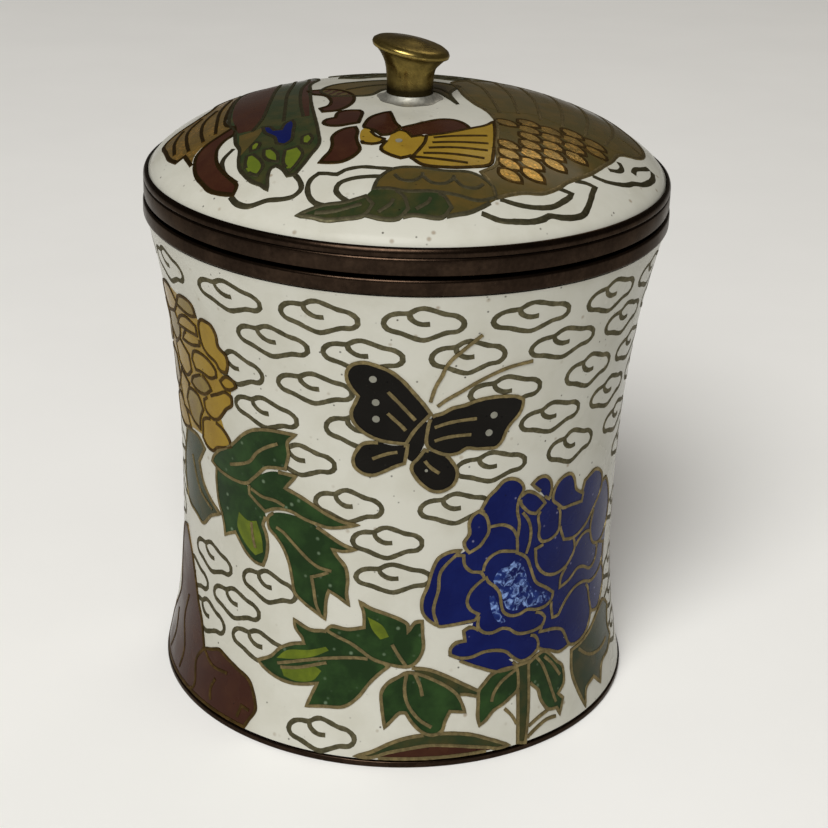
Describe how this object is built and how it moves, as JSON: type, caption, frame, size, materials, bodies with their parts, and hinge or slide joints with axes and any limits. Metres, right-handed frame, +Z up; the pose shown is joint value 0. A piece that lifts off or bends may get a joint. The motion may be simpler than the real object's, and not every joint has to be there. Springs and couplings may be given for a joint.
{
  "type": "lidded jar",
  "caption": "Small waisted cylindrical cloisonne jar with a domed lift-off lid, turned brass knob, metal foot and rims, and flower, butterfly and phoenix enamel.",
  "frame": {"origin": "centre of the foot's underside, on the surface that the jar stands on", "axes": "+Z up the jar's axis, -Y towards the side with the butterfly, +X to the right seen from there"},
  "size_m": [0.0628, 0.0628, 0.0809],
  "materials": {
    "copper_blank": "spun copper, oxidised brown",
    "white_enamel": "fired opaque white enamel, stoned and polished, small pits",
    "counter_enamel": "fired turquoise counter-enamel, glossy and slightly wavy",
    "aged_brass": "brass gone dark brown with age, worn bright along its edges",
    "clean_brass": "turned brass, lightly tarnished",
    "knob_brass": "cast and turned brass, handled and tarnished olive gold",
    "soft_solder": "dark grey tin-lead solder",
    "wire_brass": "flat drawn wire, polished level with the enamel",
    "black_enamel": "fired opaque black enamel, polished",
    "cobalt_enamel": "fired cobalt blue enamel with pale blue grains, polished",
    "yellow_enamel": "fired yellow enamel, polished",
    "leaf_green_enamel": "fired green enamel with yellow-green patches, polished",
    "deep_green_enamel": "fired dark green enamel, polished",
    "iron_red_enamel": "fired brown-red enamel, polished",
    "olive_enamel": "fired olive and yellow-green enamel, polished",
    "amber_enamel": "fired amber gold enamel over fine wire scales, polished"
  },
  "bodies": {
    "jar": {"body_blank": "copper_blank", "body_enamel": "white_enamel", "body_lining": "counter_enamel", "foot_ring": "aged_brass", "base_plate": "copper_blank", "base_enamel": "counter_enamel", "floor_lining": "counter_enamel", "mouth_ring": "aged_brass", "neck_collar": "clean_brass", "butterfly_wire": "wire_brass", "butterfly_enamel": "black_enamel", "blue_peony_wire": "wire_brass", "blue_peony_enamel": "cobalt_enamel", "yellow_peony_wire": "wire_brass", "yellow_peony_enamel": "yellow_enamel", "upper_leaves_wire": "wire_brass", "upper_leaves_enamel": "leaf_green_enamel", "lower_leaves_wire": "wire_brass", "lower_leaves_enamel": "leaf_green_enamel", "garden_rock_wire": "wire_brass", "garden_rock_enamel": "iron_red_enamel"},
    "lid": {"lid_blank": "copper_blank", "lid_enamel": "white_enamel", "lid_lining": "counter_enamel", "lid_rim": "aged_brass", "knob": "knob_brass", "knob_solder": "soft_solder", "knob_washer": "clean_brass", "knob_nut": "clean_brass", "eye_feather_wire": "wire_brass", "eye_feather_enamel": "olive_enamel", "ribbon_wire": "wire_brass", "ribbon_enamel": "iron_red_enamel", "phoenix_neck_wire": "wire_brass", "phoenix_neck_enamel": "yellow_enamel", "phoenix_body_wire": "wire_brass", "phoenix_body_enamel": "amber_enamel", "wing_feathers_wire": "wire_brass", "wing_feathers_enamel": "deep_green_enamel"}
  },
  "joints": [
    {"name": "lid_lift", "type": "slide", "parent": "jar", "child": "lid", "axis": [0, 0, 1], "range_m": [0, 0.04]}
  ]
}
